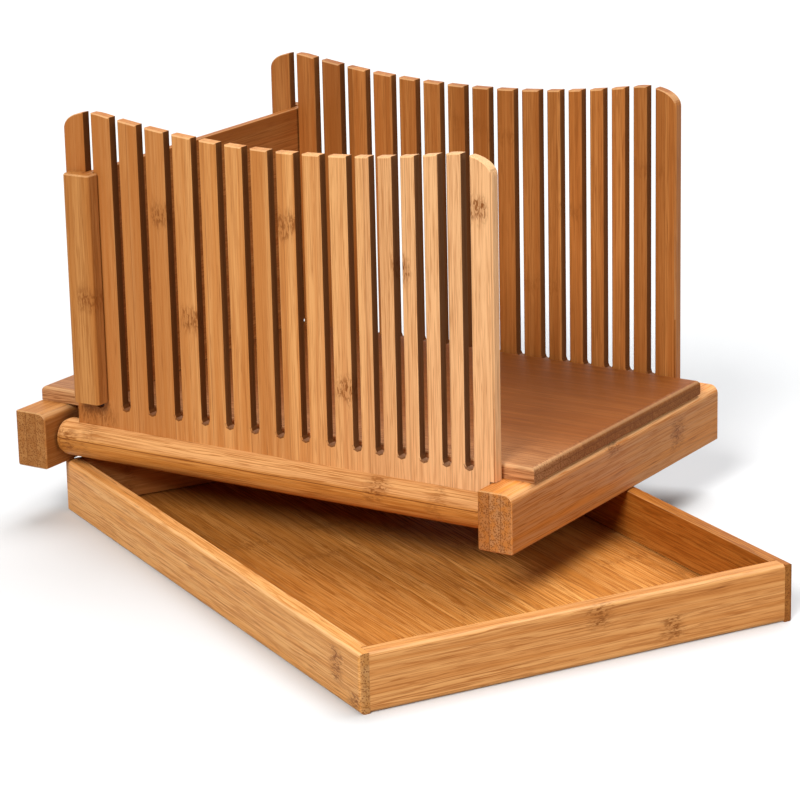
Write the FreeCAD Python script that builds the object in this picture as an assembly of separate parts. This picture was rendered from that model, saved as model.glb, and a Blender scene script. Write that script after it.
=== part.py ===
# Bread slicer guide in bamboo: a crumb tray, a cutting board on two end rails with a slotted
# guide wall on each long side, and a backstop that lifts out of the first pair of slots.
# Millimetres, +Z up. X runs along the dowels, Y from the front wall to the back wall.
# The origin is the middle of the tray's underside.
import FreeCAD
import Part
import math
import os

os.makedirs("parts", exist_ok=True)
Vector = FreeCAD.Vector
ALONG_X = Vector(1, 0, 0)
ALONG_Y = Vector(0, 1, 0)
UP = Vector(0, 0, 1)

# ---- Crumb tray -------------------------------------------------------------------------
tray_length = 300.0
tray_width = 205.0
tray_height = 25.5
tray_board = 7.2            # thickness of the four boards
corner_lap = 4.2            # end grain that shows beside each short board
tray_floor_thickness = 2.8  # flush with the boards' undersides
floor_rebate_depth = 3.0    # rebate under the boards' inner faces that holds the floor
floor_shadow_gap = 0.8      # floor panel to the top of its rebate
tray_edge_round = 2.0       # outer edges
tray_inner_ease = 0.5       # inner edge of the rim
glue_gap = 0.05             # between faces of pieces that are glued together

# ---- Slicer unit ------------------------------------------------------------------------
unit_length = 267.5         # over both end rails
rail_width = 17.1
rail_height = 26.7
rail_length = 190.7
rail_crown_round = 4.0      # upper edge on each rail's right side
rail_edge_round = 1.0       # the other long edges
rail_end_ease = 0.5
rest_gap = 0.3              # rails above the tray's rim, backstop above the board
board_front_margin = 19.5   # front end of a rail to the board's front edge
board_depth = 153.7
board_thickness = 6.8
board_end_inset = 0.4       # board's ends inside the rails' outer faces
board_edge_round = 2.4

# ---- Dowels under the guide walls -------------------------------------------------------
dowel_diameter = 17.5
dowel_end_gap = 0.5
dowel_end_round = 3.5
dowel_end_steps = 2         # flat steps round a dowel's end
wall_board_gap = 2.4        # guide wall to the board's edge
groove_floor = 3.6          # floor of the wall's groove above the dowel's axis
pin_diameter = 5.0
pin_length = 20.0
pin_fit = 0.05              # radial clearance of pins and screws in their holes

# ---- Guide walls ------------------------------------------------------------------------
wall_thickness = 5.6
wall_left = 27.7            # left end, from the left rail's outer face
wall_right_margin = 14.8    # right end, from the right rail's outer face
wall_middle_height = 126.9  # dip of the top edge above the board's top
wall_dip = 11.6             # the ends stand this much above the dip
wall_corner_round = 18.0    # upper corners of a wall
rail_clearance = 0.6        # foot of the wall to the right rail
wall_edge_ease = 0.6

# ---- Knife slots, counted from the left -------------------------------------------------
slot_width = 4.5
first_slot = 41.0           # from the left rail's outer face to the slot's middle
last_slot_margin = 27.95    # from the last slot's middle to the right rail's outer face
thick_slices = 4            # counts and proportions of the slices, which fill the wall
thick_pitch = 14.85
medium_slices = 6
medium_pitch = 13.65
thin_slices = 5
thin_pitch = 11.45
slot_below_board = 2.6      # bottom of a slot below the board's top
slot_end_steps = 4          # flat steps round a slot's bottom

# ---- Backstop ---------------------------------------------------------------------------
stop_thickness = 3.3
stop_height = 107.6
stop_bar_width = 14.6
stop_bar_thickness = 7.0
stop_bar_gap = 1.0          # bar to the outer face of its guide wall
stop_bar_shift = 2.0        # middle of a bar to the left of the panel's middle
stop_bar_lift = 0.4         # bar's lower end above the panel's lower edge
stop_groove_depth = 3.0
stop_edge_round = 2.0

# ---- Screws -----------------------------------------------------------------------------
board_screw_diameter = 3.5
board_screw_grip = 4.6      # length of a screw inside the board
board_screw_seat = 11.0     # depth of the head's bore under a rail
wall_screw_diameter = 2.4
wall_screw_grip = 10.0      # length of a screw inside the guide wall
wall_screw_seat = 3.0       # depth of the head's bore under a dowel
screw_head_ratio = 2.0      # head diameter over shank diameter
head_fit = 0.2
hidden_sides = 10           # flat sides stand in for round ones on screws and pins
board_screw_end_margin = 32.0
board_screws_per_rail = 2

# ---- How the unit stands on the tray ----------------------------------------------------
unit_turn = 29.38           # degrees between the dowels and the tray's long boards
unit_offset_x = -59.7       # middle of the unit from the middle of the tray
unit_offset_y = 60.9

# ---- Worked-out sizes -------------------------------------------------------------------
rail_gap = unit_length - 2 * rail_width
board_top = rail_height + board_thickness
board_back = board_front_margin + board_depth
dowel_radius = dowel_diameter / 2
dowel_axis_height = rail_height / 2
front_wall_inner = board_front_margin - wall_board_gap
back_wall_inner = board_back + wall_board_gap
front_dowel_y = front_wall_inner - wall_thickness / 2
back_dowel_y = back_wall_inner + wall_thickness / 2
dowel_left = rail_width + dowel_end_gap
dowel_right = unit_length - rail_width - dowel_end_gap
wall_right = unit_length - wall_right_margin
wall_foot_right = unit_length - rail_width - rail_clearance
wall_bottom = dowel_axis_height + groove_floor + glue_gap
wall_dip_height = board_top + wall_middle_height
slot_bottom = board_top - slot_below_board
stop_bottom = board_top + rest_gap
stop_bar_left = first_slot - stop_bar_shift - stop_bar_width / 2
unit_x = unit_offset_x - unit_length / 2
unit_y = unit_offset_y - rail_length / 2
unit_z = tray_height + rest_gap

pitches = [thick_pitch] * thick_slices + [medium_pitch] * medium_slices
pitches += [thin_pitch] * thin_slices
slot_reach = unit_length - last_slot_margin - first_slot
slots = [first_slot + slot_reach * sum(pitches[:count]) / sum(pitches) for count in range(len(pitches) + 1)]


def box(x_from, x_to, y_from, y_to, z_from, z_to):
    size = (x_to - x_from, y_to - y_from, z_to - z_from)
    return Part.makeBox(*size, Vector(x_from, y_from, z_from))


def rod(radius, length, start, direction):
    return Part.makeCylinder(radius, length, start, direction)


def edges_along(shape, direction, keep=None):
    """Straight edges of the shape that run along the direction."""
    found = []
    for edge in shape.Edges:
        if not isinstance(edge.Curve, Part.Line):
            continue
        if edge.tangentAt(edge.FirstParameter).cross(direction).Length > 1e-6:
            continue
        if keep is None or keep(edge.CenterOfMass):
            found.append(edge)
    return found


def stacked(outlines):
    """Solid with flat faces through a row of outlines that have equally many corners."""
    loops = [outlines[0], outlines[-1]]
    for this, following in zip(outlines, outlines[1:]):
        loops += [[this[i - 1], this[i], following[i], following[i - 1]] for i in range(len(this))]
    faces = [Part.Face(Part.makePolygon(loop + loop[:1])) for loop in loops]
    return Part.Solid(Part.makeShell(faces))


def flat_sided(levels):
    """Upright body with hidden_sides flat sides; levels are its (radius, height) from below."""
    turns = [FreeCAD.Rotation(UP, 360 * side / hidden_sides) for side in range(hidden_sides)]
    return stacked([[turn.multVec(Vector(radius, 0, z)) for turn in turns] for radius, z in levels])


def screw(x, y, seat, tip, diameter):
    """Upright wood screw with its head below: flat head, shank, pointed end."""
    radius = diameter / 2
    head_radius = radius * screw_head_ratio
    made = flat_sided([(head_radius, seat - radius), (head_radius, seat), (radius, seat),
                       (radius, tip - diameter), (radius / 4, tip)])
    made.translate(Vector(x, y, 0))
    return made


def screw_bore(x, y, below, seat, tip, diameter):
    """Room for such a screw: bore for the head and hole for the shank."""
    head_radius = diameter / 2 * screw_head_ratio + head_fit
    bore = rod(head_radius, seat + pin_fit - below, Vector(x, y, below), UP)
    shank = rod(diameter / 2 + pin_fit, tip + pin_fit - seat, Vector(x, y, seat), UP)
    return bore.fuse(shank)


# ---- Tray pieces, in the tray's own frame: long boards along X, table at Z = 0 ------------
half_length = tray_length / 2
half_width = tray_width / 2
rebate_top = tray_floor_thickness + floor_shadow_gap


def touches(edge, keep):
    return all(keep(vertex.Point) for vertex in edge.Vertexes)


def tray_board_blank(across, reach, outer, inner, rounded_ends):
    """Upright board from -reach to reach; outer and inner are its faces' places across it.

    across is True when the board runs along X. Its outer edges are rounded and its
    inner rim is eased.
    """
    span = (-reach, reach)
    thick = sorted((outer, inner))
    place = (*span, *thick) if across else (*thick, *span)
    board = box(*place, 0, tray_height)
    depth = (lambda p: p.y) if across else (lambda p: p.x)
    along = (lambda p: p.x) if across else (lambda p: p.y)
    on_outer = lambda p: abs(depth(p) - outer) < 1e-3
    outline = [e for e in board.Edges if touches(e, on_outer)]
    if not rounded_ends:
        outline = [e for e in outline if abs(along(e.CenterOfMass)) < 1e-3]
    board = board.makeFillet(tray_edge_round, outline)
    on_inner_rim = lambda p: abs(depth(p) - inner) < 1e-3 and p.z > tray_height - 1e-3
    return board.makeFillet(tray_inner_ease, [e for e in board.Edges if touches(e, on_inner_rim)])


def tray_long_board(side):
    """Full-length board; its ends are cut back inside so that the short boards lap into it."""
    outer = side * half_width
    inner = outer - side * tray_board
    board = tray_board_blank(True, half_length, outer, inner, True)
    for end in (-1, 1):
        shoulder = end * (half_length - tray_board - glue_gap)
        cut_y = sorted((outer - side * corner_lap, inner - side * 1.0))
        cut_x = sorted((shoulder, end * (half_length + 1.0)))
        board = board.cut(box(*cut_x, *cut_y, -1.0, tray_height + 1.0))
    rebate_y = sorted((inner + side * floor_rebate_depth, inner - side * 1.0))
    return board.cut(box(-half_length, half_length, *rebate_y, -1.0, rebate_top))


def tray_short_board(end):
    """Board across the tray's end, between the tongues of the long boards."""
    outer = end * half_length
    inner = outer - end * tray_board
    reach = half_width - corner_lap - glue_gap
    board = tray_board_blank(False, reach, outer, inner, False)
    rebate_x = sorted((inner + end * floor_rebate_depth, inner - end * 1.0))
    return board.cut(box(*rebate_x, -reach - 1, reach + 1, -1.0, rebate_top))


def tray_floor():
    reach_x = half_length - tray_board + floor_rebate_depth - glue_gap
    reach_y = half_width - tray_board + floor_rebate_depth - glue_gap
    return box(-reach_x, reach_x, -reach_y, reach_y, 0, tray_floor_thickness)


# ---- Unit pieces, in the unit's own frame: left rail's front lower corner at the origin ---
def board_screw_places(rail_middle):
    span = rail_length - 2 * board_screw_end_margin
    step = span / (board_screws_per_rail - 1)
    return [(rail_middle, board_screw_end_margin + i * step) for i in range(board_screws_per_rail)]


left_screw_places = board_screw_places(rail_width / 2)
right_screw_places = board_screw_places(unit_length - rail_width / 2)
board_screw_tip = rail_height + board_screw_grip


def end_rail(left, screw_places, inner_face, into_rail):
    rail = box(left, left + rail_width, 0, rail_length, 0, rail_height)
    crown = lambda c: c.z > rail_height - 1e-3 and c.x > left + rail_width / 2
    rail = rail.makeFillet(rail_crown_round, edges_along(rail, ALONG_Y, crown))
    corner = lambda c: c.z < 1e-3 or c.x < left + 1e-3
    rail = rail.makeFillet(rail_edge_round, edges_along(rail, ALONG_Y, corner))
    rail = rail.makeChamfer(rail_end_ease, end_outline(rail))
    for x, y in screw_places:
        rail = rail.cut(screw_bore(x, y, -1.0, board_screw_seat, board_screw_tip, board_screw_diameter))
    for y in (front_dowel_y, back_dowel_y):
        start = Vector(inner_face - into_rail, y, dowel_axis_height)
        depth = pin_length / 2 - dowel_end_gap / 2 + pin_fit + 1.0
        hole = rod(pin_diameter / 2 + pin_fit, depth, start, Vector(into_rail, 0, 0))
        rail = rail.cut(hole)
    return rail


def end_outline(rail):
    """Edges round the two end faces of a rail."""
    on_end = lambda y: y < 1e-3 or y > rail_length - 1e-3
    return [e for e in rail.Edges if on_end(e.CenterOfMass.y)]


def cutting_board():
    right = unit_length - board_end_inset
    board = box(board_end_inset, right, board_front_margin, board_back, rail_height + glue_gap, board_top)
    top_edges = [e for e in board.Edges if e.CenterOfMass.z > board_top - 1e-3]
    board = board.makeFillet(board_edge_round, top_edges)
    for x, y in left_screw_places + right_screw_places:
        hole = rod(board_screw_diameter / 2 + pin_fit, board_screw_grip + pin_fit, Vector(x, y, rail_height), UP)
        board = board.cut(hole)
    return board


def wall_screw_places():
    """One screw under every fifth strip, clear of the slots."""
    middles = [(a + b) / 2 for a, b in zip(slots, slots[1:])]
    return middles[2::5]


def dowel_blank(y):
    """Round bar whose ends are rounded in a few steps."""
    steps = range(dowel_end_steps + 1)
    swing = [FreeCAD.Rotation(UP, 90 * step / dowel_end_steps).multVec(ALONG_X) for step in steps]
    low, flat = dowel_left + dowel_end_round, dowel_radius - dowel_end_round
    high = dowel_right - dowel_end_round
    left = [(low - dowel_end_round * v.x, flat + dowel_end_round * v.y) for v in swing]
    right = [(high + dowel_end_round * v.x, flat + dowel_end_round * v.y) for v in reversed(swing)]
    profile = [(dowel_left, 0), *left, *right, (dowel_right, 0)]
    points = [Vector(x, y, dowel_axis_height + r) for x, r in profile]
    outline = Part.Face(Part.makePolygon(points + points[:1]))
    return outline.revolve(Vector(0, y, dowel_axis_height), ALONG_X, 360)


def dowel(y):
    bar = dowel_blank(y)
    half_groove = wall_thickness / 2 + glue_gap
    groove_bottom = dowel_axis_height + groove_floor
    above = dowel_axis_height + dowel_diameter
    groove = box(wall_left - glue_gap, dowel_right + 1, y - half_groove, y + half_groove, groove_bottom, above)
    bar = bar.cut(groove)
    for x in wall_screw_places():
        seat = dowel_axis_height - dowel_radius + wall_screw_seat
        bore = screw_bore(x, y, -1.0, seat, wall_bottom + wall_screw_grip, wall_screw_diameter)
        bar = bar.cut(bore)
    depth = pin_length / 2 - dowel_end_gap / 2 + pin_fit + 1.0
    for start, way in ((dowel_left - 1.0, 1), (dowel_right + 1.0, -1)):
        hole = rod(pin_diameter / 2 + pin_fit, depth, Vector(start, y, dowel_axis_height), Vector(way, 0, 0))
        bar = bar.cut(hole)
    return bar


def dowel_pins(y):
    pins = []
    for middle in (rail_width + dowel_end_gap / 2, unit_length - rail_width - dowel_end_gap / 2):
        pin = flat_sided([(pin_diameter / 2, -pin_length / 2), (pin_diameter / 2, pin_length / 2)])
        pin.rotate(Vector(0, 0, 0), ALONG_Y, 90)
        pin.translate(Vector(middle, y, dowel_axis_height))
        pins.append(pin)
    return Part.makeCompound(pins)


def wall_outline(outer_y):
    """Plain board of a guide wall: hollow top edge, foot that clears the right rail."""
    end_height = wall_dip_height + wall_dip
    middle = (wall_left + wall_right) / 2
    shoulder = rail_height + rest_gap
    at = lambda x, z: Vector(x, outer_y, z)
    line = lambda a, b: Part.makeLine(at(*a), at(*b))
    hollow = Part.Arc(at(wall_right, end_height), at(middle, wall_dip_height), at(wall_left, end_height))
    sides = [
        line((wall_left, wall_bottom), (wall_foot_right, wall_bottom)),
        line((wall_foot_right, wall_bottom), (wall_foot_right, shoulder)),
        line((wall_foot_right, shoulder), (wall_right, shoulder)),
        line((wall_right, shoulder), (wall_right, end_height)),
        hollow.toShape(),
        line((wall_left, end_height), (wall_left, wall_bottom)),
    ]
    board = Part.Face(Part.Wire(sides)).extrude(Vector(0, wall_thickness, 0))
    top_corner = lambda c: c.z > end_height - 1e-3
    return board.makeFillet(wall_corner_round, edges_along(board, ALONG_Y, top_corner))


def slot_outline(x, y, half):
    """Upright slot of that half width: flat steps round its bottom, and open above the wall."""
    middle = Vector(x, y, slot_bottom + slot_width / 2)
    above = wall_dip_height + wall_dip + 1.0
    swing = [FreeCAD.Rotation(ALONG_Y, 180 * step / slot_end_steps) for step in range(slot_end_steps + 1)]
    corners = [middle + turn.multVec(Vector(half, 0, 0)) for turn in swing]
    return corners + [Vector(x - half, y, above), Vector(x + half, y, above)]


def slot_cutter(x, outer_y):
    """Knife slot that flares at both faces of the wall."""
    half = slot_width / 2
    inner_y = outer_y + wall_thickness
    return stacked([
        slot_outline(x, outer_y - wall_edge_ease, half + 2 * wall_edge_ease),
        slot_outline(x, outer_y + wall_edge_ease, half),
        slot_outline(x, inner_y - wall_edge_ease, half),
        slot_outline(x, inner_y + wall_edge_ease, half + 2 * wall_edge_ease),
    ])


def guide_wall(outer_y):
    wall = wall_outline(outer_y)
    for face_y in (outer_y, outer_y + wall_thickness):
        on_face = lambda p: abs(p.y - face_y) < 1e-3
        above_rail = lambda edge: edge.CenterOfMass.z > rail_height + wall_thickness
        edges = [e for e in wall.Edges if touches(e, on_face) and above_rail(e)]
        wall = wall.makeChamfer(wall_edge_ease, edges)
    for x in slots:
        wall = wall.cut(slot_cutter(x, outer_y))
    for x in wall_screw_places():
        hole = rod(wall_screw_diameter / 2 + pin_fit, wall_screw_grip + pin_fit + 1.0,
                   Vector(x, outer_y + wall_thickness / 2, wall_bottom - 1.0), UP)
        wall = wall.cut(hole)
    return wall


def wall_screws(y):
    seat = dowel_axis_height - dowel_radius + wall_screw_seat
    tip = wall_bottom + wall_screw_grip
    return Part.makeCompound([screw(x, y, seat, tip, wall_screw_diameter)
                              for x in wall_screw_places()])


def board_screws():
    return Part.makeCompound([screw(x, y, board_screw_seat, board_screw_tip, board_screw_diameter)
                              for x, y in left_screw_places + right_screw_places])


# ---- Backstop: panel through the first slots, a bar outside each guide wall ---------------
front_bar_inner = front_wall_inner - wall_thickness - stop_bar_gap
back_bar_inner = back_wall_inner + wall_thickness + stop_bar_gap


def backstop_panel():
    reach = stop_groove_depth - glue_gap
    panel = box(first_slot - stop_thickness / 2, first_slot + stop_thickness / 2,
                front_bar_inner - reach, back_bar_inner + reach, stop_bottom, stop_bottom + stop_height)
    upper = lambda c: c.z > stop_bottom + stop_height - 1e-3
    return panel.makeFillet(stop_thickness / 5, edges_along(panel, ALONG_Y, upper))


def backstop_bar(inner_y, way):
    outer_y = inner_y + way * stop_bar_thickness
    low_y, high_y = sorted((inner_y, outer_y))
    top = stop_bottom + stop_height
    bar = box(stop_bar_left, stop_bar_left + stop_bar_width, low_y, high_y, stop_bottom + stop_bar_lift, top)
    bar = bar.makeFillet(stop_edge_round, edges_along(bar, UP, lambda c: abs(c.y - outer_y) < 1e-3))
    rim = [e for e in bar.Edges if abs(e.CenterOfMass.z - top) < 1e-3 and abs(e.CenterOfMass.y - inner_y) > 1e-3]
    bar = bar.makeChamfer(stop_edge_round / 3, rim)
    half = stop_thickness / 2 + glue_gap
    groove_y = sorted((inner_y + way * stop_groove_depth, inner_y - way * 1.0))
    return bar.cut(box(first_slot - half, first_slot + half, *groove_y, 0, top + 1))


# ---- Place and write --------------------------------------------------------------------
def on_tray(shape):
    shape.rotate(Vector(0, 0, 0), UP, -unit_turn)
    return shape


def on_unit(shape):
    shape.translate(Vector(unit_x, unit_y, unit_z))
    return shape


left_inner_face = rail_width
right_inner_face = unit_length - rail_width
pieces = {
    "tray_floor": on_tray(tray_floor()),
    "tray_front_board": on_tray(tray_long_board(-1)),
    "tray_back_board": on_tray(tray_long_board(1)),
    "tray_left_board": on_tray(tray_short_board(-1)),
    "tray_right_board": on_tray(tray_short_board(1)),
    "left_rail": on_unit(end_rail(0, left_screw_places, left_inner_face, -1)),
    "right_rail": on_unit(end_rail(right_inner_face, right_screw_places, right_inner_face, 1)),
    "cutting_board": on_unit(cutting_board()),
    "front_dowel": on_unit(dowel(front_dowel_y)),
    "back_dowel": on_unit(dowel(back_dowel_y)),
    "front_guide_wall": on_unit(guide_wall(front_wall_inner - wall_thickness)),
    "back_guide_wall": on_unit(guide_wall(back_wall_inner)),
    "front_dowel_pins": on_unit(dowel_pins(front_dowel_y)),
    "back_dowel_pins": on_unit(dowel_pins(back_dowel_y)),
    "front_wall_screws": on_unit(wall_screws(front_dowel_y)),
    "back_wall_screws": on_unit(wall_screws(back_dowel_y)),
    "board_screws": on_unit(board_screws()),
    "backstop_panel": on_unit(backstop_panel()),
    "backstop_front_bar": on_unit(backstop_bar(front_bar_inner, -1)),
    "backstop_back_bar": on_unit(backstop_bar(back_bar_inner, 1)),
}
for name, shape in pieces.items():
    shape.exportStep("parts/" + name + ".step")
    print(name, len(shape.Solids), "solids", round(shape.Volume), "mm3", shape.isValid())
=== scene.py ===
import bmesh
import bpy
import math
from mathutils import Matrix, Vector


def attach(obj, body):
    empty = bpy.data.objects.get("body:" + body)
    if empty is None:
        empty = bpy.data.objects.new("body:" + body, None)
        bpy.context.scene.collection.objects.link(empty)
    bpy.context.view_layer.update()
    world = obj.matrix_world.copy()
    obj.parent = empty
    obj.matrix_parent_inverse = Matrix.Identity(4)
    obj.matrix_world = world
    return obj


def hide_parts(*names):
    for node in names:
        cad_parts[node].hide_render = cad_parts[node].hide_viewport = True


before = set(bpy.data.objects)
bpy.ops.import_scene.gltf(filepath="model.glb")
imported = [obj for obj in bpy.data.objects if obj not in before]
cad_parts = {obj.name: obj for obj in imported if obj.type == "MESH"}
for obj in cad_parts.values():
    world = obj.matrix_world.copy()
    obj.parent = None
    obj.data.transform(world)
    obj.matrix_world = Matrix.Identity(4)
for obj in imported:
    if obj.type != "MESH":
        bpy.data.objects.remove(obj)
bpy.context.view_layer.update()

MM = 0.001
TRAY_TURN = math.radians(29.38)         # tray's long boards against the dowels
UNIT_CORNER = (-193.45, -34.45, 25.8)   # left rail's front lower corner, mm


def from_unit(right=0.0, up=0.0):
    """Place in mm from the unit's corner."""
    return UNIT_CORNER[0] + right, UNIT_CORNER[1], UNIT_CORNER[2] + up


def add_to_scene(name, data):
    made = bpy.data.objects.new(name, data)
    bpy.context.scene.collection.objects.link(made)
    return made


# ---- Shader building blocks ---------------------------------------------------------------
class Shader:
    """Short ways to add and join nodes in one material."""

    def __init__(self, name):
        self.material = bpy.data.materials.new(name)
        self.material.use_nodes = True
        self.tree = self.material.node_tree
        self.tree.nodes.clear()

    def node(self, kind, **settings):
        made = self.tree.nodes.new(kind)
        for key, value in settings.items():
            setattr(made, key, value)
        return made

    def feed(self, socket, value):
        if isinstance(value, bpy.types.NodeSocket):
            self.tree.links.new(value, socket)
        else:
            socket.default_value = value

    def math(self, operation, first, second=0.0, third=0.0, clamp=False):
        made = self.node("ShaderNodeMath", operation=operation, use_clamp=clamp)
        for socket, value in zip(made.inputs, (first, second, third)):
            self.feed(socket, value)
        return made.outputs[0]

    def plus(self, first, second):
        return self.math("ADD", first, second)

    def minus(self, first, second):
        return self.math("SUBTRACT", first, second)

    def times(self, first, second, clamp=False):
        return self.math("MULTIPLY", first, second, clamp=clamp)

    def times_plus(self, value, factor, more, clamp=False):
        return self.math("MULTIPLY_ADD", value, factor, more, clamp=clamp)

    def size_of(self, value):
        return self.math("ABSOLUTE", value)

    def ramp(self, value, low, high, out_low=0.0, out_high=1.0):
        """Smooth step of the value from low to high."""
        made = self.node("ShaderNodeMapRange", interpolation_type="SMOOTHSTEP")
        for index, given in enumerate((value, low, high, out_low, out_high)):
            self.feed(made.inputs[index], given)
        return made.outputs[0]

    def vector(self, x, y, z):
        made = self.node("ShaderNodeCombineXYZ")
        for socket, value in zip(made.inputs, (x, y, z)):
            self.feed(socket, value)
        return made.outputs[0]

    def noise(self, place, scale=1.0, detail=2.0, roughness=0.5, distortion=0.0):
        made = self.node("ShaderNodeTexNoise")
        self.feed(made.inputs["Vector"], place)
        for key, value in (("Scale", scale), ("Detail", detail), ("Roughness", roughness),
                           ("Distortion", distortion)):
            made.inputs[key].default_value = value
        return made.outputs["Fac"]

    def random(self, place):
        made = self.node("ShaderNodeTexWhiteNoise", noise_dimensions="3D")
        self.feed(made.inputs["Vector"], place)
        return made.outputs["Value"]

    def mix(self, amount, first, second):
        made = self.node("ShaderNodeMix", data_type="RGBA", blend_type="MIX")
        self.feed(made.inputs[0], amount)
        self.feed(made.inputs[6], first)
        self.feed(made.inputs[7], second)
        return made.outputs[2]

    def surface(self, shader):
        """The finished material."""
        self.feed(self.node("ShaderNodeOutputMaterial").inputs["Surface"], shader.outputs[0])
        return self.material


def colour(red, green, blue):
    """Colour of a dry sample, each part from 0 to 255, in the renderer's linear light."""
    linear = [((part / 255 + 0.055) / 1.055) ** 2.4 if part > 10 else part / 255 / 12.92
              for part in (red, green, blue)]
    return (*linear, 1.0)


# ---- Bamboo -------------------------------------------------------------------------------
HIGHLIGHT_CREAM = colour(240, 200, 150)           # painted highlight on eased upper edges
PALE = colour(240, 188, 136)            # painted light at the pale end of a slope that starts in painted shade
BROWN = colour(112, 58, 18)             # glue lines, deep streaks and dots of the end grain
KNOT_BROWN = colour(136, 78, 30)
SLOT_SHADE_BROWN = colour(92, 46, 10)         # painted shade on the sides and bottom edges of the saw cuts
DULL_BROWN = colour(124, 80, 42)        # cut ends

# light, middle and dark wood of a piece
TAN = (colour(230, 170, 106), colour(206, 138, 74), colour(166, 98, 42))
GOLDEN = (colour(232, 168, 94), colour(212, 140, 64), colour(160, 92, 28))
RUSSET = (colour(200, 134, 72), colour(178, 108, 50), colour(138, 78, 30))
HONEY = (colour(208, 148, 86), colour(186, 122, 62), colour(148, 88, 34))
TOASTED = (colour(178, 110, 54), colour(154, 88, 36), colour(114, 60, 18))
BLOND = (colour(224, 166, 110), colour(238, 156, 74), colour(190, 110, 38))
AMBER = (colour(206, 136, 60), colour(184, 110, 40), colour(136, 74, 18))
STRAW = (colour(250, 198, 134), colour(240, 174, 100), colour(190, 120, 52))

# sizes in mm; in a pair the mark is full up to the first value and gone at the second
GLUE_LINE = (0.05, 0.35)                # from a joint
KNOT_WIDTH = 13.0
KNOT_CORE = 0.5                         # share of half the width that is full
KNOT_LENGTH = (1.0, 8.5)                # along the fibres, from the knot's middle
KNOT_DEPTH = (4.0, 9.0)                 # the third way, for a knot that isn't right through
KNOT_RAGGED = (10.0, 3.0)               # unevenness along and across the fibres
STRAY_LENGTH = (1.0, 5.5)
STRAY_RAGGED = 12.0
BEND = 2.2                              # sideways wander of the fibres
KNOT_BEND = 4.0                         # more of it in a knot
STRIP_JUMP = 37.0                       # gives neighbouring strips different streaks
BUMP_DEPTH = 0.12

# noises: share of the length along the fibres, then scale, detail, roughness, distortion
RAGGED = (0.15, 0.35, 2.0)
WANDER = (0.05, 0.25, 2.0)
FINE = (0.020, 1.25, 3.0, 0.65)
BROAD = (0.012, 0.28, 2.0)
DASH = (0.05, 1.6, 1.0)
FLECK = (0.33, 1.05, 2.0, 0.6, 0.4)
THREAD = (0.016, 1.05, 1.0)
DOT_SHARE, DOT_SCALE = 0.05, 1.35
START_SEED = 7.3                        # added to a piece's seed for the stray knots

# values of the noises between which a mark comes up
FINE_DARK = (0.54, 0.30)
DASH_DARK = (0.42, 0.26)
FLECK_DARK = (0.55, 0.41)
BROAD_LIGHT = (0.32, 0.68)
THREAD_LINE = (0.015, 0.055)            # to either side of the middle value
DOT = (0.24, 0.55)                      # from a dot's middle

# how far a mark covers the wood under it, from 0 to 1
STRIP_DARK, STRIP_RANGE = 0.24, 0.55    # dark wood in a middling strip, and between strips
STREAK, DASH_STREAK, DEEP_STREAK = 0.55, 0.6, 0.45
THREAD_DARK = 0.8
STRAY_KNOT = 0.45
KNOT_CLOUD, KNOT_FLECKS = 0.25, 0.70
CUT_DULL, CUT_GLUE = 0.5, 0.6
DOT_DARK, DOT_BROAD = 0.40, 0.7
# painted shade: how dark the slot bottoms get, then how much it varies along the fibres on the
# slot sides
SLOT_BOTTOM_SHADE = 0.85
SLOT_SHADE_SPREAD = 0.3

# parts of the normal between which a face counts as looking that way
CUT_END = (0.55, 0.9)
EASED = (0.95, 0.80)                    # slanted, by the largest part of the normal
UPWARD = (0.15, 0.45)
SLOT_SIDE = (0.80, 0.95)

# surface: roughness and what adds to it, shine, and the heights of the bump
ROUGH, END_ROUGH, FIBRE_ROUGH, SAWN_ROUGH = 0.40, 0.2, 0.16, 0.45
SHINE = 0.13
RIDGE, HOLLOW, BUMP = 0.6, 0.35, 0.35


def knot_at(along, across, width=KNOT_WIDTH, third=None):
    """A knot's middle in mm from the pattern's origin; without a third it is right through."""
    return along, across, width, third


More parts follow.
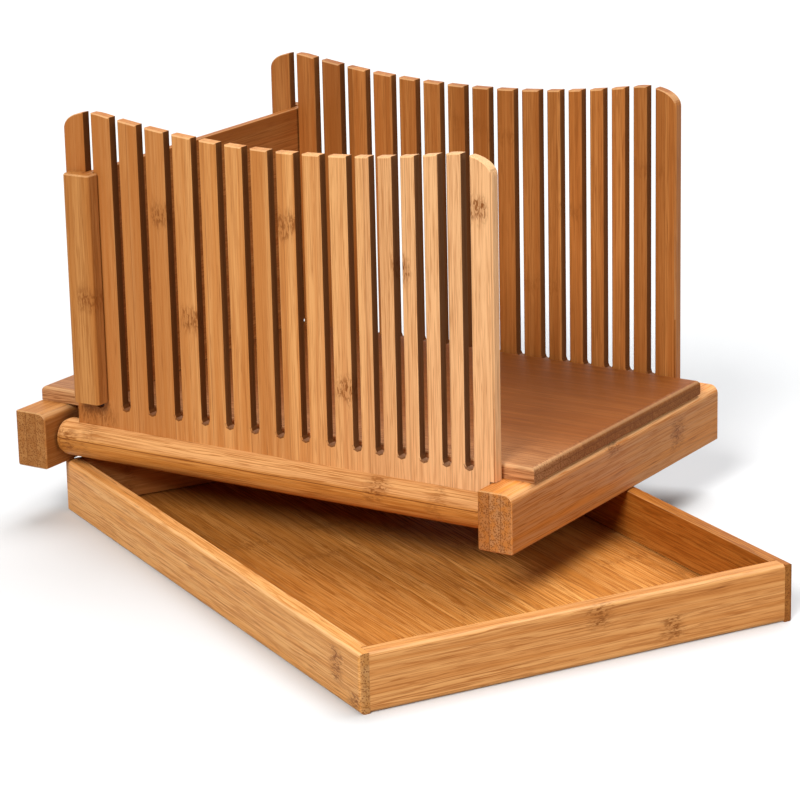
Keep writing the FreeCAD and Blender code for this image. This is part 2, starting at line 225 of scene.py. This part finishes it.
class Bamboo(Shader):
    """The marks of laminated bamboo, one after the other."""

    def __init__(self, name, along, across, origin, turn):
        super().__init__(name)
        place = self.turned("Object", "POINT", turn)
        place.inputs["Scale"].default_value = (1 / MM, 1 / MM, 1 / MM)
        place.inputs["Location"].default_value = [-value for value in origin]
        parts = self.parts(place)
        third = ({"X", "Y", "Z"} - {along, across}).pop()
        self.along, self.across, self.third = parts[along], parts[across], parts[third]
        normal = self.parts(self.turned("Normal", "NORMAL", turn))
        self.looks = {axis: self.size_of(normal[axis]) for axis in "XYZ"}
        self.looks_along, self.looks_across = self.looks[along], self.looks[across]

    def turned(self, coordinates, kind, turn):
        mapping = self.node("ShaderNodeMapping", vector_type=kind)
        source = self.node("ShaderNodeTexCoord").outputs[coordinates]
        self.feed(mapping.inputs["Vector"], source)
        mapping.inputs["Rotation"].default_value = (0, 0, turn)
        return mapping

    def parts(self, made):
        split = self.node("ShaderNodeSeparateXYZ")
        self.feed(split.inputs[0], made.outputs[0])
        return dict(zip("XYZ", split.outputs))

    def stretched(self, share, across, third):
        """Place for a noise that is drawn out along the fibres."""
        return self.vector(self.times(self.along, share), across, third)

    def lay_strips(self, strip, layer, shift, seed):
        """Strips side by side and layers behind one another, each with its own tone."""
        strip_place = self.math("DIVIDE", self.plus(self.across, shift), strip)
        layer_place = self.math("DIVIDE", self.third, layer)
        strip_number = self.math("FLOOR", strip_place)
        layer_number = self.math("FLOOR", layer_place)
        self.strip_tone = self.random(self.vector(strip_number, layer_number, seed))
        self.strip_start = self.random(self.vector(strip_number, layer_number, seed + START_SEED))
        from_joint = self.math("MINIMUM", self.from_edge(strip_place, strip_number, strip),
                               self.from_edge(layer_place, layer_number, layer))
        self.joint = self.ramp(from_joint, *GLUE_LINE, 1.0, 0.0)

    def from_edge(self, place, number, width):
        inside = self.minus(place, number)
        return self.times(self.math("MINIMUM", inside, self.minus(1.0, inside)), width)

    def grow_knots(self, knots, knot_gap):
        """The given knots, and a faint stray one every knot_gap mm of a strip."""
        share, *settings = RAGGED
        ragged = self.noise(self.stretched(share, self.across, self.third), *settings)
        ragged = self.minus(ragged, 0.5)
        self.knot = 0.0
        if knot_gap:
            walk = self.plus(self.math("DIVIDE", self.along, knot_gap), self.strip_start)
            away = self.times(self.minus(self.math("FRACT", walk), 0.5), knot_gap)
            away = self.times_plus(ragged, STRAY_RAGGED, away)
            self.knot = self.ramp(self.size_of(away), *STRAY_LENGTH, STRAY_KNOT, 0.0)
        for along, across, width, third in knots:
            half = width / 2
            off_along = self.times_plus(ragged, KNOT_RAGGED[0], self.minus(self.along, along))
            off_across = self.times_plus(ragged, KNOT_RAGGED[1], self.minus(self.across, across))
            near = self.times(
                self.ramp(self.size_of(off_along), *KNOT_LENGTH, 1.0, 0.0),
                self.ramp(self.size_of(off_across), half * KNOT_CORE, half, 1.0, 0.0))
            if third is not None:
                off_third = self.size_of(self.minus(self.third, third))
                near = self.times(near, self.ramp(off_third, *KNOT_DEPTH, 1.0, 0.0))
            self.knot = self.math("MAXIMUM", self.knot, near)

    def grow_fibres(self):
        """Long thin marks that wander a little, more so near a knot."""
        share, *settings = WANDER
        wander = self.noise(self.stretched(share, self.across, self.third), *settings)
        bend = self.times(self.minus(wander, 0.5), self.times_plus(self.knot, KNOT_BEND, BEND))
        jump = self.times(self.strip_tone, STRIP_JUMP)
        self.bent_across = self.plus(self.plus(self.across, bend), jump)
        self.bent_third = self.plus(self.third, bend)
        self.fine, self.broad = self.fibre_noise(FINE), self.fibre_noise(BROAD)
        self.fine_dark = self.ramp(self.fine, *FINE_DARK, 0.0, 1.0)
        self.dash_dark = self.ramp(self.fibre_noise(DASH), *DASH_DARK, 0.0, 1.0)
        self.fleck_dark = self.ramp(self.fibre_noise(FLECK), *FLECK_DARK, 0.0, 1.0)
        off_middle = self.size_of(self.minus(self.fibre_noise(THREAD), 0.5))
        self.thread = self.ramp(off_middle, *THREAD_LINE, 1.0, 0.0)

    def fibre_noise(self, pattern):
        share, *settings = pattern
        return self.noise(self.stretched(share, self.bent_across, self.bent_third), *settings)

    def colour_ground(self, tones, variety, slope):
        """Wood without its marks."""
        light, middle, dark = tones
        ground = self.mix(self.ramp(self.broad, *BROAD_LIGHT), middle, light)
        own_tone = self.times_plus(self.minus(self.strip_tone, 0.5), STRIP_RANGE * variety,
                                   STRIP_DARK, clamp=True)
        ground = self.mix(own_tone, ground, dark)
        # painted shade at the slope's start and painted light at its end
        if slope:
            start, end, darker, paler = slope
            halfway = (start + end) / 2
            ground = self.mix(self.ramp(self.across, start, halfway, darker, 0.0), ground, dark)
            ground = self.mix(self.ramp(self.across, halfway, end, 0.0, paler), ground, PALE)
        return ground

    def add_marks(self, ground, dark, fibre, glue):
        """Streaks, threads, knots and glue lines on the ground colour."""
        streaks = self.math("MAXIMUM", self.fine_dark, self.times(self.dash_dark, DASH_STREAK))
        wood = self.mix(self.times(streaks, STREAK * fibre, clamp=True), ground, dark)
        deep = self.times(self.fine_dark, self.dash_dark)
        wood = self.mix(self.times(deep, DEEP_STREAK * fibre, clamp=True), wood, BROWN)
        threads = self.times(self.thread, self.broad)
        wood = self.mix(self.times(threads, THREAD_DARK * fibre, clamp=True), wood, dark)
        specks = self.times_plus(self.fleck_dark, KNOT_FLECKS, KNOT_CLOUD)
        wood = self.mix(self.times(self.knot, specks, clamp=True), wood, KNOT_BROWN)
        return self.mix(self.times(self.joint, glue), wood, BROWN)

    def cut_ends(self, wood, ground, end_grain):
        """Dots of the fibres on duller wood where a face looks along them."""
        self.end = self.times(self.ramp(self.looks_along, *CUT_END), end_grain)
        dots = self.node("ShaderNodeTexVoronoi", feature="F1")
        pressed = self.times(self.along, DOT_SHARE)
        self.feed(dots.inputs["Vector"], self.vector(self.across, self.third, pressed))
        dots.inputs["Scale"].default_value = DOT_SCALE
        self.dot = self.ramp(dots.outputs["Distance"], *DOT, 1.0, 0.0)
        cut = self.mix(CUT_DULL, ground, DULL_BROWN)
        dotted = self.times(self.dot, self.times_plus(self.broad, DOT_BROAD, DOT_DARK))
        cut = self.mix(dotted, cut, BROWN)
        cut = self.mix(self.times(self.joint, CUT_GLUE), cut, BROWN)
        return self.mix(self.end, wood, cut)

    def light_edges_shade_slot_bottoms(self, wood, rim, slots):
        """Painted highlight on eased upper edges; at the bottoms of slots painted shade instead.
        """
        flattest = self.math("MAXIMUM", self.looks["X"], self.looks["Y"])
        flattest = self.math("MAXIMUM", flattest, self.looks["Z"])
        # painted highlight: eased faces that look upward get lighter
        eased = self.times(self.ramp(flattest, *EASED, 0.0, 1.0),
                           self.ramp(self.looks["Z"], *UPWARD))
        if slots:
            bottom, right, _ = slots
            high = self.math("GREATER_THAN", self.along, bottom)
            low = self.times(self.minus(1.0, high), self.math("LESS_THAN", self.across, right))
            # painted shade on the upward faces at the slot bottoms
            low = self.times(self.ramp(self.looks["Z"], *UPWARD, 0.0, SLOT_BOTTOM_SHADE), low)
            wood = self.mix(low, wood, SLOT_SHADE_BROWN)
            eased = self.times(eased, high)
        return self.mix(self.times(eased, rim), wood, HIGHLIGHT_CREAM)

    def shade_slot_sides(self, wood, slots):
        """Painted shade on the sides of the slots; gives the wood and the roughness they add."""
        if not slots:
            return wood, 0.0
        _, right, side_shade = slots
        side = self.times(self.ramp(self.looks_across, *SLOT_SIDE),
                          self.math("LESS_THAN", self.across, right))
        # painted shade on the slot sides, uneven along the fibres
        uneven = self.times_plus(self.fine, SLOT_SHADE_SPREAD, side_shade - SLOT_SHADE_SPREAD / 2)
        wood = self.mix(self.times(side, uneven), wood, SLOT_SHADE_BROWN)
        return wood, self.times(side, SAWN_ROUGH)

    def finish(self, wood, sawn_rough):
        """Oiled, nearly matt surface with fine ridges."""
        shader = self.node("ShaderNodeBsdfPrincipled")
        self.feed(shader.inputs["Base Color"], wood)
        rough = self.plus(sawn_rough, self.times_plus(self.end, END_ROUGH, ROUGH))
        self.feed(shader.inputs["Roughness"], self.times_plus(self.fine, FIBRE_ROUGH, rough))
        shader.inputs["Specular IOR Level"].default_value = SHINE
        hollow = self.times(self.math("MAXIMUM", self.joint, self.dot), HOLLOW)
        bump = self.node("ShaderNodeBump")
        bump.inputs["Strength"].default_value = BUMP
        bump.inputs["Distance"].default_value = BUMP_DEPTH * MM
        self.feed(bump.inputs["Height"], self.minus(self.times(self.fine, RIDGE), hollow))
        self.feed(shader.inputs["Normal"], bump.outputs[0])
        return self.surface(shader)


def bamboo(name, along, across, strip, layer, origin=(0, 0, 0), turn=0.0, shift=0.0, tones=TAN,
           fibre=1.0, variety=1.0, knots=(), knot_gap=190.0, end_grain=1.0, rim=0.25,
           slots=None, slope=None, glue=0.34, seed=0.0):
    """Laminated bamboo: strips with their own tone, fibres, knots and dotted end grain.

    along is the axis of the fibres and across the axis that counts the strips, both as
    "X", "Y" or "Z" of the piece. strip and layer are the strips' width and thickness in mm,
    and the first strip starts shift mm before the origin. fibre, variety and glue are the
    strengths of the streaks, of the strips' own tones and of the lines between strips.
    knots come from knot_at, and a knot_gap of 0 leaves out the stray ones. end_grain darkens
    cut ends and rim paints a highlight on eased upper edges. slots is (height that their bottoms
    stay below, where the last one ends, strength of the painted shade on their sides). slope is
    (from, to, dark, pale): across those mm the wood goes from dark to pale, painted shade to
    light.
    """
    wood = Bamboo(name, along, across, origin, turn)
    wood.lay_strips(strip, layer, shift, seed)
    wood.grow_knots(knots, knot_gap)
    wood.grow_fibres()
    ground = wood.colour_ground(tones, variety, slope)
    seen = wood.add_marks(ground, tones[2], fibre, glue)
    seen = wood.cut_ends(seen, ground, end_grain)
    seen = wood.light_edges_shade_slot_bottoms(seen, rim, slots)
    return wood.finish(*wood.shade_slot_sides(seen, slots))


# ---- Steel --------------------------------------------------------------------------------
GREY = colour(168, 168, 172)
PALE_GREY = colour(205, 204, 200)
CLOUDS = (900.0, 3.0)                   # scale per m and detail of the zinc's pattern
ZINC_ROUGH, CLOUD_ROUGH = 0.25, 0.25    # smoothest, and what the clouds add


def zinc_steel():
    s = Shader("zinc_plated_steel")
    cloud = s.noise(s.node("ShaderNodeTexCoord").outputs["Object"], *CLOUDS)
    shader = s.node("ShaderNodeBsdfPrincipled")
    s.feed(shader.inputs["Base Color"], s.mix(cloud, GREY, PALE_GREY))
    s.feed(shader.inputs["Roughness"], s.times_plus(cloud, CLOUD_ROUGH, ZINC_ROUGH))
    shader.inputs["Metallic"].default_value = 1.0
    return s.surface(shader)


# ---- Guide walls with tighter shoulders ---------------------------------------------------
WALL_ENDS = (27.7, 252.7)     # from the unit's corner, mm
WALL_DIP = 160.4              # top edge in the middle
WALL_HOLLOW = 551.3           # radius of the hollow top edge
SHOULDER = 24.0               # reach of the round shoulders
SHOULDER_DEPTH = 14.0         # how far below the dip they are changed
SHOULDER_SHARE = 0.55         # of their drop that stays
SHOULDER_FADE = 0.4           # share of the reach over which the change runs out
SAME_POINT = 0.005            # corners this close are joined
CREASE = math.radians(13)     # faces that meet at a larger angle stay crisp


def tighter_shoulders(node, name):
    """Copy of a guide wall whose two upper corners are rounded less."""
    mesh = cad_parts[node].data.copy()
    mesh.name = name
    shape = bmesh.new()
    shape.from_mesh(mesh)
    bmesh.ops.remove_doubles(shape, verts=shape.verts, dist=SAME_POINT * MM)
    middle = sum(WALL_ENDS) / 2
    for vert in shape.verts:
        x = vert.co.x / MM - UNIT_CORNER[0]
        z = vert.co.z / MM - UNIT_CORNER[2]
        from_end = min(x - WALL_ENDS[0], WALL_ENDS[1] - x)
        if from_end > SHOULDER or z < WALL_DIP - SHOULDER_DEPTH:
            continue
        top = WALL_DIP + WALL_HOLLOW - math.sqrt(WALL_HOLLOW ** 2 - (x - middle) ** 2)
        faded = (from_end - (1.0 - SHOULDER_FADE) * SHOULDER) / (SHOULDER_FADE * SHOULDER)
        share = SHOULDER_SHARE + (1.0 - SHOULDER_SHARE) * min(1.0, max(0.0, faded))
        vert.co.z += (1.0 - share) * max(0.0, top - z) * MM
    for face in shape.faces:
        face.smooth = True
    shape.to_mesh(mesh)
    shape.free()
    mesh.set_sharp_from_angle(angle=CREASE)
    wall = add_to_scene(name, mesh)
    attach(wall, "unit")
    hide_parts(node)
    return wall


# ---- Wood and steel of each piece ---------------------------------------------------------
RAIL_HEIGHT = 26.7            # top of the rails, from the unit's corner, mm
RIGHT_RAIL = 250.4            # left face of the right rail
DOWEL_FOOT = 4.6              # underside of the dowels
SLOTS_BELOW = 60.0            # slot bottoms, with painted shade, lie lower and eased upper edges, with painted highlight, higher
SLOTS_END = 243.0             # right of the last slot
WALL_LAYER = 9.0
BOARD_LAYER = 3.4
THICK_LAYER = 60.0            # thicker than any piece; only where two meet is there a joint
RAIL_STRIP = 5.7              # a rail is three strips wide
BAR_STRIP = 14.6              # a bar is one strip wide
BAR_SHIFT = -31.7             # first strip starts at the bar's left edge
TRAY_STRIP = 26.0             # a tray board is one strip high
PIN_STRIP = 60.0              # wider than a pin
# knot_at(27.0, 38.0, 30.0) is a wide dark patch low on the wall near its left end
FRONT_WALL_KNOTS = (knot_at(125.8, 80.3), knot_at(79.1, 94.6), knot_at(128.5, 147.9),
                    knot_at(57.9, 176.9), knot_at(115.3, 206.8), knot_at(27.0, 38.0, 30.0),
                    knot_at(146.0, 246.0, 11.0))


def dress(piece, material):
    mesh = piece.data
    if not mesh.materials:
        mesh.materials.append(material)
    for index in range(len(mesh.materials)):
        mesh.materials[index] = material


def dress_node(node, *pattern, **settings):
    dress(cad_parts[node], bamboo(*pattern, **settings))


# Front wall: its slope paints shade at the left end and light at the right end.
dress(tighter_shoulders("front_guide_wall", "front_wall"),
      bamboo("bamboo_front_wall", "Z", "X", 21.0, WALL_LAYER, from_unit(),
             knots=FRONT_WALL_KNOTS, knot_gap=0.0, end_grain=0.0, rim=0.4, fibre=0.8,
             slots=(SLOTS_BELOW, SLOTS_END, 0.85), slope=(20, 250, 0.8, 1.0), seed=1.0))
# Back wall: RUSSET, darker than the front wall, is partly painted shade on its inner face.
dress(tighter_shoulders("back_guide_wall", "back_wall"),
      bamboo("bamboo_back_wall", "Z", "X", 19.0, WALL_LAYER, from_unit(), tones=RUSSET,
             knot_gap=420.0, end_grain=0.0, rim=0.3, variety=1.8,
             slots=(SLOTS_BELOW, SLOTS_END, 0.6), seed=2.0))
# Cutting board: TOASTED tones are partly painted shade from the walls, and its slope paints it
# darker at the back, paler at the front.
dress_node("cutting_board", "bamboo_board", "X", "Y", 21.0, BOARD_LAYER,
           from_unit(up=RAIL_HEIGHT), tones=TOASTED, rim=0.2, fibre=1.4,
           slope=(140, 10, 0.2, 0.45), seed=3.0)
dress_node("left_rail", "bamboo_left_rail", "Y", "X", RAIL_STRIP, THICK_LAYER, from_unit(),
           tones=HONEY, fibre=1.2, seed=4.0)
dress_node("right_rail", "bamboo_right_rail", "Y", "X", RAIL_STRIP, THICK_LAYER,
           from_unit(right=RIGHT_RAIL), tones=BLOND, fibre=1.5, knot_gap=0.0,
           knots=(knot_at(90.0, 17.0, third=27.0), knot_at(150.0, 17.0, third=14.0)), seed=5.0)
# Front dowel: its slope paints a highlight on the upper part.
dress_node("front_dowel", "bamboo_front_dowel", "X", "Z", 10.5, THICK_LAYER,
           from_unit(up=DOWEL_FOOT), shift=0.5, rim=0.0, tones=GOLDEN, variety=0.5, fibre=1.3,
           glue=0.9, slope=(8.0, 12.0, 0.0, 0.4), knots=(knot_at(25.1, 9.4), knot_at(194.5, 11.6)),
           seed=6.0)
dress_node("back_dowel", "bamboo_back_dowel", "X", "Z", 5.8, THICK_LAYER,
           from_unit(up=DOWEL_FOOT), rim=0.0, seed=7.0)
dress_node("backstop_panel", "bamboo_backstop_panel", "Y", "Z", 22.0, THICK_LAYER, from_unit(),
           tones=RUSSET, seed=8.0)
dress_node("backstop_front_bar", "bamboo_front_bar", "Z", "X", BAR_STRIP, THICK_LAYER,
           from_unit(), shift=BAR_SHIFT, knots=(knot_at(83.9, 42.1),), knot_gap=0.0,
           end_grain=0.0, tones=HONEY, seed=9.0)
dress_node("backstop_back_bar", "bamboo_back_bar", "Z", "X", BAR_STRIP, THICK_LAYER,
           from_unit(), shift=BAR_SHIFT, end_grain=0.0, tones=HONEY, seed=10.0)
dress_node("tray_floor", "bamboo_tray_floor", "X", "Y", 22.0, THICK_LAYER, turn=TRAY_TURN,
           tones=GOLDEN, fibre=1.8, seed=11.0)
# Tray front board: STRAW, paler than the other tray boards, is partly painted light on the face
# toward the light.
dress_node("tray_front_board", "bamboo_tray_front", "X", "Z", TRAY_STRIP, THICK_LAYER,
           turn=TRAY_TURN, tones=STRAW, fibre=1.7, knot_gap=0.0,
           knots=(knot_at(129.0, 15.0, 18.0), knot_at(146.0, 4.0, 10.0)), seed=12.0)
# Tray back board: AMBER, darker than the other tray boards, is partly painted shade on its inner
# face.
dress_node("tray_back_board", "bamboo_tray_back", "X", "Z", TRAY_STRIP, THICK_LAYER,
           turn=TRAY_TURN, tones=AMBER, fibre=2.0, seed=13.0)
dress_node("tray_left_board", "bamboo_tray_left", "Y", "Z", TRAY_STRIP, THICK_LAYER,
           turn=TRAY_TURN, seed=14.0)
dress_node("tray_right_board", "bamboo_tray_right", "Y", "Z", TRAY_STRIP, THICK_LAYER,
           turn=TRAY_TURN, fibre=1.3, knot_gap=0.0,
           knots=(knot_at(7.6, 19.8), knot_at(42.3, 8.4)), seed=15.0)
pin_wood = bamboo("bamboo_pins", "X", "Y", PIN_STRIP, THICK_LAYER, from_unit(), seed=16.0)
steel = zinc_steel()
for node in ("front_dowel_pins", "back_dowel_pins"):
    dress(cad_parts[node], pin_wood)
for node in ("front_wall_screws", "back_wall_screws", "board_screws"):
    dress(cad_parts[node], steel)


# ---- Floor, light and camera --------------------------------------------------------------
FLOOR_HALF = 8.0                                # m
FLOOR_BOUNCE = (0.42, 0.40, 0.37, 1)            # for the light that it sends up to the wood
FLOOR_SEEN = (0.73, 0.745, 0.765, 1)            # just white in full light, grey in a shadow
AMBIENT = (1.0, 0.98, 0.95, 1)
AMBIENT_STRENGTH = 0.05
WHITE = (1.0, 1.0, 1.0)
WARM = (1.0, 0.98, 0.94)
LENS, SENSOR = 143.5, 36.0                      # focal length and sensor width, mm
FAR = 50.0                                      # m
CAMERA_PLACE = (919.7, -1097.5, 446.2)          # from the unit's corner, mm
CAMERA_RIGHT = (0.8438, 0.5362, -0.0212)
CAMERA_AHEAD = (-0.5195, 0.8063, -0.2828)


def background_rays(tree):
    """1 for the rays that show the background: seen, mirrored or through glass."""
    path = tree.nodes.new("ShaderNodeLightPath")
    seen = path.outputs["Is Camera Ray"]
    for other in ("Is Glossy Ray", "Is Transmission Ray"):
        larger = tree.nodes.new("ShaderNodeMath")
        larger.operation = "MAXIMUM"
        tree.links.new(seen, larger.inputs[0])
        tree.links.new(path.outputs[other], larger.inputs[1])
        seen = larger.outputs[0]
    return seen


def pale_floor():
    s = Shader("pale_floor")
    lit = s.node("ShaderNodeBsdfDiffuse")
    s.feed(lit.inputs["Color"], s.mix(background_rays(s.tree), FLOOR_BOUNCE, FLOOR_SEEN))
    return s.surface(lit)


def add_floor():
    mesh = bpy.data.meshes.new("floor")
    shape = bmesh.new()
    bmesh.ops.create_grid(shape, x_segments=1, y_segments=1, size=FLOOR_HALF)
    shape.to_mesh(mesh)
    shape.free()
    floor = add_to_scene("floor", mesh)
    mesh.materials.append(pale_floor())


def add_sun(name, away, strength, softness, tint):
    """Even light from far off; away points from the object to the light."""
    lamp = bpy.data.lights.new(name, "SUN")
    lamp.energy = strength
    lamp.angle = math.radians(softness)
    lamp.color = tint
    light = add_to_scene(name, lamp)
    light.matrix_world = Vector(away).to_track_quat("Z", "Y").to_matrix().to_4x4()


def add_world():
    """White where the background shows, and a little even light from all around."""
    world = bpy.data.worlds.new("studio")
    bpy.context.scene.world = world
    world.use_nodes = True
    tree = world.node_tree
    tree.nodes.clear()
    dim = tree.nodes.new("ShaderNodeBackground")
    dim.inputs["Color"].default_value = AMBIENT
    dim.inputs["Strength"].default_value = AMBIENT_STRENGTH
    white = tree.nodes.new("ShaderNodeBackground")
    white.inputs["Color"].default_value = (*WHITE, 1)
    white.inputs["Strength"].default_value = 1.0
    pick = tree.nodes.new("ShaderNodeMixShader")
    out = tree.nodes.new("ShaderNodeOutputWorld")
    tree.links.new(background_rays(tree), pick.inputs[0])
    tree.links.new(dim.outputs[0], pick.inputs[1])
    tree.links.new(white.outputs[0], pick.inputs[2])
    tree.links.new(pick.outputs[0], out.inputs[0])


def add_camera():
    """Long lens, looking down a little from the right of the front wall."""
    lens = bpy.data.cameras.new("camera")
    lens.sensor_width = SENSOR
    lens.lens = LENS
    lens.clip_end = FAR
    camera = add_to_scene("camera", lens)
    ahead = Vector(CAMERA_AHEAD).normalized()
    up = Vector(CAMERA_RIGHT).normalized().cross(ahead).normalized()
    turn = Matrix((ahead.cross(up), up, -ahead)).transposed().to_4x4()
    place = Vector(CAMERA_PLACE) + Vector(UNIT_CORNER)
    camera.matrix_world = Matrix.Translation(place * MM) @ turn
    bpy.context.scene.camera = camera


add_floor()
add_world()
add_sun("top", (0.0, 0.4, 1.0), 2.8, 48.0, WHITE)
add_sun("front", (0.15, -1.0, 0.75), 2.9, 22.0, WARM)
add_sun("right", (1.0, -0.30, 0.5), 0.65, 30.0, WARM)
add_camera()
bpy.context.scene.view_settings.view_transform = "Standard"
